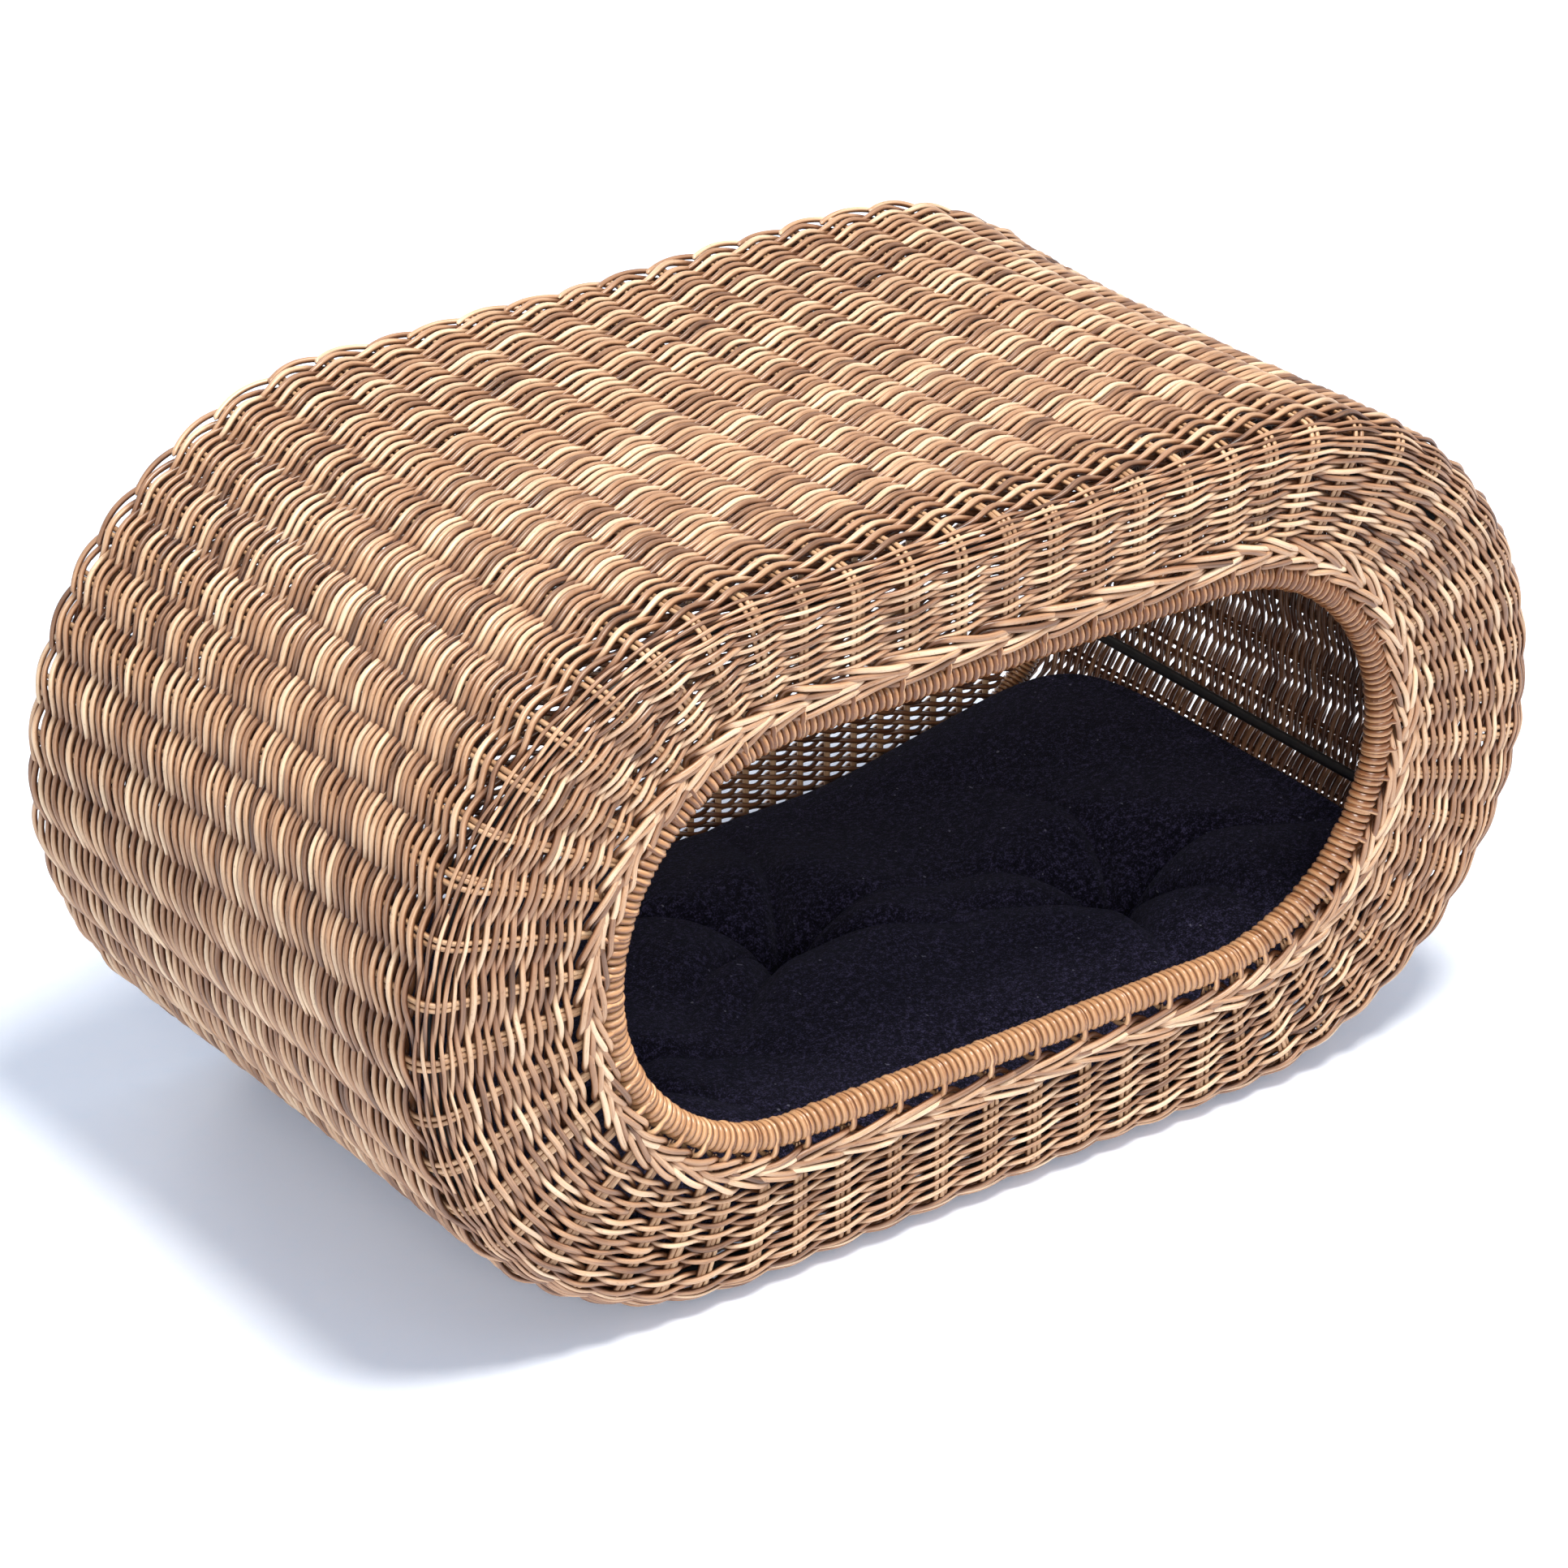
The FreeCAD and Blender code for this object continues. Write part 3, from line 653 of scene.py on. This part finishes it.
def opening_plait(rng):
    """The plaited border outside the rim, of pairs of canes."""
    u = np.arange(STAKES * 20) / 20
    paths, depths = [], []
    for member in range(MEMBERS):
        for pair in (-BORDER_PAIR, BORDER_PAIR):
            path, rise = plait(member, pair, u, rng)
            paths.append(path)
            depths.append(rise - 0.3)
    paths = np.array(paths)
    ups = np.broadcast_to([0.0, -1.0, 0.0], paths.shape)
    piece = tubes("opening_plait", paths, ups, BORDER_STRAND, 10, True, rng, np.array(depths))
    finish_piece(piece, cane_body, "basket", "cane", "opening_border")


rim_wrap(rng)
rim_ties(rng)
opening_plait(rng)

# ---------------------------------------------------------------- back edge, back hoop and back wall

LOOP_STRAND = 1.3
HOOP_RADIUS, HOOP_PLANE, HOOP_STRAND, HOOP_PITCH = 143.6, 144.0, 1.1, 2.3
HOOP_DEEP, HOOP_WIDE, HOOP_OUT = 3.75, 4.75, 1.0
BACK_STAKE_PITCH, BACK_RADIUS, BACK_PLANE = 15.5, 138.5, 144.0
BACK_LEVELS, BACK_ROW_PITCH = 27, 5.0
BACK_STRAND, BACK_LIFT, BACK_TILT, BACK_BAND = 1.2, 2.9, 1.5, 56


def back_loops(rng):
    """The loops along the back edge, each over the next stake and a bit further."""
    t = np.linspace(0, 1, 30)
    bow = np.sin(math.pi * t)
    paths, ups = [], []
    for index in range(STAKES):
        along = index + 0.6 + (1.35 + rng.uniform(-0.12, 0.12)) * t
        v = 3.2 - (4.3 + rng.uniform(-0.8, 0.5)) * bow ** 0.8
        out = -0.6 + 1.2 * t + (1.3 + rng.uniform(-0.4, 0.4)) * bow
        points, normals = wall(along, v, out)
        paths.append(points)
        ups.append(normals)
    piece = tubes("back_loops", np.array(paths), np.array(ups), LOOP_STRAND, 8, False, rng)
    finish_piece(piece, cane_body, "basket", "cane", "back_border")


def back_hoop_cane(rng):
    """One thin cane wound round the back hoop, wide enough to close the gap to the wall."""
    hoop_length = 4 * OUTER_HALF + TAU * HOOP_RADIUS
    turns = int(round(hoop_length / HOOP_PITCH))
    angle = np.arange(turns * 12) * TAU / 12
    x, z, nx, nz = stadium(angle / TAU * hoop_length / turns, OUTER_HALF, HOOP_RADIUS)
    away = HOOP_OUT + HOOP_WIDE * np.sin(angle)
    y = HOOP_PLANE - HOOP_DEEP * np.cos(angle)
    points = np.stack([x + nx * away, y, z + OUTER_CENTRE + nz * away], -1)
    ups = np.stack([nz, np.zeros_like(nx), -nx], -1)
    piece = tubes("back_hoop_cane", points[None], ups[None], HOOP_STRAND, 6, True, rng)
    finish_piece(piece, cane_wrap, "basket", "cane_wrap", "back_hoop_wrap")


def back_rows(rng):
    """The back wall: level rows of two strands round its upright rods."""
    paths, ups, depths = [], [], []
    for level in np.arange(-BACK_LEVELS, BACK_LEVELS + 1) * BACK_ROW_PITCH:
        half = OUTER_HALF + math.sqrt(BACK_RADIUS ** 2 - level ** 2) - 1.0
        x = np.linspace(-half, half, 240)
        phase = math.pi * x / BACK_STAKE_PITCH
        for sign in (1, -1):
            weave = sign * BACK_LIFT * np.cos(phase)
            z = OUTER_CENTRE + level + sign * BACK_TILT * np.sin(phase)
            z = z + 0.2 * wander(rng, 1, x + half, 4, 30, 2 * half)[0]
            paths.append(np.stack([x, BACK_PLANE + weave, z], -1))
            ups.append(np.broadcast_to([0.0, 1.0, 0.0], paths[-1].shape))
            depths.append(weave)
    paths, ups, depths = np.array(paths), np.array(ups), np.array(depths)
    for part, first in enumerate(range(0, len(paths), BACK_BAND)):
        band = slice(first, first + BACK_BAND)
        piece = tubes("back_rows_%d" % (part + 1), paths[band], ups[band], BACK_STRAND, 6, False, rng,
                      depths[band])
        finish_piece(piece, cane_body, "basket", "cane", *(["back_weave"] if part == 0 else []))


back_loops(rng)
back_hoop_cane(rng)
back_rows(rng)

# ---------------------------------------------------------------- cushion

TUFTS = ((150.0, -35.0), (5.0, 18.0), (-150.0, -35.0))
CUSHION_X, CUSHION_Y = 251.0, 134.5
FLOOR_RADIUS = 147.4
FOLDS = 6


def cushion_floor(x):
    """The inside of the basket under the cushion."""
    past = np.maximum(np.abs(x) - OUTER_HALF, 0)
    return OUTER_CENTRE - np.sqrt(np.maximum(FLOOR_RADIUS ** 2 - past ** 2, 1))


def cushion_top(x, y):
    """The height of the cushion: a dimple at each tuft with creases running out of it."""
    dice = np.random.default_rng(5)
    height = 54 + 23 * smooth(np.abs(x), 90, 250)
    height = height + 3.5 * np.sin(x * 0.021 + 0.8) * np.cos(y * 0.024 + 0.3)
    height = height + 1.6 * np.sin(x * 0.047 + y * 0.031 + 1.0) * np.cos(y * 0.052 - x * 0.013)
    for cx, cy in TUFTS:
        dx, dy = x - cx, y - cy
        r = np.hypot(dx, dy)
        theta = np.arctan2(dy, dx)
        height = height - 28 * np.exp(-r / 20) + 6.0 * np.exp(-((r - 46) / 24) ** 2)
        for fold in range(FOLDS):
            heading = TAU * (fold + dice.uniform(-0.28, 0.28)) / FOLDS
            reach, depth, width = dice.uniform(40, 90), dice.uniform(9, 16), dice.uniform(2.6, 4.2)
            bend = heading + dice.uniform(-0.006, 0.006) * r
            gap = np.abs(np.mod(theta - bend + math.pi, TAU) - math.pi)
            across = np.where(gap < math.pi / 2, r * np.sin(np.minimum(gap, math.pi / 2)), r)
            groove = np.exp(-(across / (width + 0.05 * r)) ** 1.5)
            height = height - depth * groove * np.exp(-(r / reach) ** 1.6) * (1 - np.exp(-r / 3))
    return height


def cushion_mesh():
    """A closed pillow: points, quads and bake layout of its top and its underside."""
    na, nb = 360, 200
    a, b = np.meshgrid(np.linspace(-1, 1, na), np.linspace(-1, 1, nb), indexing="ij")
    ease = lambda t, p: np.sign(t) * (1 - (1 - np.abs(t)) ** p)
    x = CUSHION_X * (0.35 * ease(a, 1.9) + 0.65 * a)
    y = CUSHION_Y * (0.45 * ease(b, 1.9) + 0.55 * b)
    ax, by = np.abs(x) / CUSHION_X, np.abs(y) / CUSHION_Y
    corner = (ax ** 7 + by ** 7) ** (1 / 7)
    shrink = np.maximum(corner, 1e-6) / np.maximum(np.maximum(ax, by), 1e-6)
    x, y = x / shrink, y / shrink
    edge = np.maximum(np.abs(a), np.abs(b))
    full_x = np.clip(1 - (np.abs(x) / CUSHION_X) ** 5, 0, 1) ** 0.42
    full_y = np.clip(1 - (np.abs(y) / CUSHION_Y) ** 4.5, 0, 1) ** 0.42
    low = cushion_floor(x) + 0.6
    seam = low + 0.5 * (cushion_top(x, y) - low) * (0.35 + 0.65 * full_x)
    seam = np.maximum(seam, low + 2)
    rim = full_x * full_y
    top = seam + (cushion_top(x, y) - seam) * rim
    bottom = seam + (low - seam) * np.minimum(rim * 1.25, 1)
    top = np.maximum(top, bottom + 1.0)
    top[edge >= 1] = seam[edge >= 1]
    bottom[edge >= 1] = seam[edge >= 1]
    upper = np.stack([x, y, top], -1).reshape(-1, 3)
    lower = np.stack([x, y, bottom], -1).reshape(-1, 3)
    index = np.arange(na * nb).reshape(na, nb)
    inner = np.zeros((na, nb), bool)
    inner[1:-1, 1:-1] = True
    under = np.where(inner, index + na * nb, index)
    quads = []
    for grid, flip in ((index, False), (under, True)):
        q = np.stack([grid[:-1, :-1], grid[1:, :-1], grid[1:, 1:], grid[:-1, 1:]], -1).reshape(-1, 4)
        quads.append(q[:, ::-1] if flip else q)
    faces = np.concatenate(quads)
    points = np.concatenate([upper, lower])
    flat = np.stack([(a + 1) / 4, (b + 1) / 2], -1).reshape(-1, 2)
    uv_all = np.concatenate([flat, flat + [0.5, 0.0]])
    corner_uv = []
    for number, q in enumerate(quads):
        local = np.where(q >= na * nb, q - na * nb, q) + (na * nb if number else 0)
        corner_uv.append(uv_all[local].reshape(-1, 2))
    return points, faces, np.concatenate(corner_uv)


def fleece_material():
    """Dark blue-black fleece: a fine nap, soft clouds and a few pale bits of lint."""
    material, tree, shader = new_material("fleece")
    links = tree.links
    place = tree.nodes.new("ShaderNodeTexCoord").outputs["Object"]
    nap = noise(tree, place, 1300.0, 3.0, 0.7)
    pill = noise(tree, place, 450.0, 3.0, 0.6)
    cloud = noise(tree, place, 28.0, 3.0, 0.5)
    value = maths(tree, "ADD", maths(tree, "MULTIPLY", nap, 0.6), maths(tree, "MULTIPLY", pill, 0.4))
    colour = ramp(tree, value, [(0.38, srgb(2, 2, 8)), (0.50, srgb(15, 13, 27)), (0.62, srgb(64, 60, 88))])
    colour = mix(tree, "MULTIPLY", maths(tree, "MULTIPLY", cloud, 0.6), colour, (0.70, 0.70, 0.76))
    spots = noise(tree, place, 1.0, 0.0, 0.4, (520.0, 300.0, 520.0))
    lint = ramp(tree, spots, [(0.83, (0, 0, 0)), (0.86, (1, 1, 1))])
    colour = mix(tree, "MIX", maths(tree, "MULTIPLY", lint, 0.35), colour, srgb(150, 150, 170))
    links.new(colour, shader.inputs["Base Color"])
    shader.inputs["Roughness"].default_value = 0.95
    shader.inputs["Specular IOR Level"].default_value = 0.1
    shader.inputs["Sheen Weight"].default_value = 0.10
    shader.inputs["Sheen Roughness"].default_value = 0.5
    shader.inputs["Sheen Tint"].default_value = (0.42, 0.42, 0.62, 1)
    roughen(tree, shader, value, 0.9, 0.0011)
    return material


cushion = build("fleece_cushion", *cushion_mesh())
finish_piece(cushion, fleece_material(), "cushion", "fleece",
             "cushion_cover", "cushion_filling", "cushion_ties")


# ---------------------------------------------------------------- carried-over CAD nodes

def steel_material():
    """Black painted steel wire."""
    material, tree, shader = new_material("black_steel")
    place = tree.nodes.new("ShaderNodeTexCoord").outputs["Object"]
    speckle = noise(tree, place, 600.0, 3.0, 0.6)
    tree.links.new(ramp(tree, speckle, [(0.3, srgb(20, 20, 21)), (0.7, srgb(36, 35, 35))]),
                   shader.inputs["Base Color"])
    tree.links.new(line(tree, speckle, 0.25, 0.3), shader.inputs["Roughness"])
    roughen(tree, shader, speckle, 0.2, 0.0001)
    return material


def rod_material():
    """The upright rods of the back wall: cane with its grain along Z."""
    material, tree, shader = new_material("cane_upright")
    place = tree.nodes.new("ShaderNodeTexCoord").outputs["Object"]
    streak = noise(tree, place, 1.0, 3.0, 0.6, (900.0, 900.0, 18.0))
    own = noise(tree, place, 1.0, 1.0, 0.5, (64.0, 0.1, 0.1))
    value = maths(tree, "ADD", maths(tree, "MULTIPLY", streak, 0.5), maths(tree, "MULTIPLY", own, 0.5))
    tree.links.new(ramp(tree, value, STAKE_STOPS), shader.inputs["Base Color"])
    shader.inputs["Roughness"].default_value = 0.5
    roughen(tree, shader, streak, 0.3, 0.0002)
    return material


def repaint(material, *names):
    """Put a material on CAD nodes that stay visible."""
    for name in names:
        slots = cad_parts[name].material_slots
        for slot in slots:
            slot.material = material
        if not slots:
            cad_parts[name].data.materials.append(material)


repaint(steel_material(), "front_hoop", "back_hoop", "opening_hoop", "frame_bar_lower_right",
        "frame_bar_upper_right", "frame_bar_lower_left", "frame_bar_upper_left")
repaint(rod_material(), "back_stakes")


# ---------------------------------------------------------------- floor, light and camera

def floor_material():
    """Pale studio floor with a faint bluish glow, which keeps the shadows on it light."""
    material, tree, shader = new_material("studio_floor")
    place = tree.nodes.new("ShaderNodeTexCoord").outputs["Object"]
    tone = ramp(tree, noise(tree, place, 120.0, 3.0, 0.6),
                [(0.3, (0.86, 0.90, 0.98)), (0.7, (0.90, 0.93, 0.99))])
    tree.links.new(tone, shader.inputs["Base Color"])
    shader.inputs["Roughness"].default_value = 0.9
    shader.inputs["Emission Color"].default_value = (0.62, 0.76, 1.0, 1)
    shader.inputs["Emission Strength"].default_value = 0.19
    return material


FLOOR_REACH = 9.0
corners = [(x * FLOOR_REACH, y * FLOOR_REACH, 0) for x, y in ((-1, -1), (1, -1), (1, 1), (-1, 1))]
mesh = bpy.data.meshes.new("studio_floor")
mesh.from_pydata(corners, [], [(0, 1, 2, 3)])
mesh.materials.append(floor_material())
floor = bpy.data.objects.new("studio_floor", mesh)
bpy.context.scene.collection.objects.link(floor)


BASKET_MIDDLE = (0, 0, 0.15)


def area_light(name, location, size, power, colour):
    """A soft round light that faces the middle of the basket."""
    data = bpy.data.lights.new(name, "AREA")
    data.shape = "DISK"
    data.size = size
    data.energy = power
    data.color = colour
    light = bpy.data.objects.new(name, data)
    light.location = location
    light.rotation_euler = (Vector(BASKET_MIDDLE) - Vector(location)).to_track_quat("-Z", "Y").to_euler()
    bpy.context.scene.collection.objects.link(light)


area_light("key", (0.1, -0.75, 2.7), 1.0, 97, (1.0, 0.97, 0.91))
area_light("front", (-1.3, -2.25, 1.2), 0.9, 22, (1.0, 0.94, 0.86))
area_light("behind", (0.5, 2.7, 1.5), 1.4, 20, (1.0, 0.98, 0.95))

world = bpy.data.worlds.new("studio")
bpy.context.scene.world = world
world.use_nodes = True
background = world.node_tree.nodes["Background"]
background.inputs["Color"].default_value = (0.72, 0.83, 1.0, 1)
background.inputs["Strength"].default_value = 0.52

AZIMUTH, ELEVATION, DISTANCE = math.radians(-36.345), math.radians(27.457), 2.42855
level = math.cos(ELEVATION)
back = Vector((math.sin(AZIMUTH) * level, -math.cos(AZIMUTH) * level, math.sin(ELEVATION)))
right = Vector((math.cos(AZIMUTH), math.sin(AZIMUTH), 0))
up = back.cross(right)
target = Vector((-0.0101, -0.0047, 0.1369))
camera_data = bpy.data.cameras.new("camera")
camera_data.lens = 131.24
camera_data.sensor_width = 36
camera_data.clip_end = 50
camera = bpy.data.objects.new("camera", camera_data)
placed = Matrix((right, up, back)).transposed().to_4x4()
placed.translation = target + back * DISTANCE
camera.matrix_world = placed
bpy.context.scene.collection.objects.link(camera)
bpy.context.scene.camera = camera
bpy.context.scene.view_settings.view_transform = "Standard"
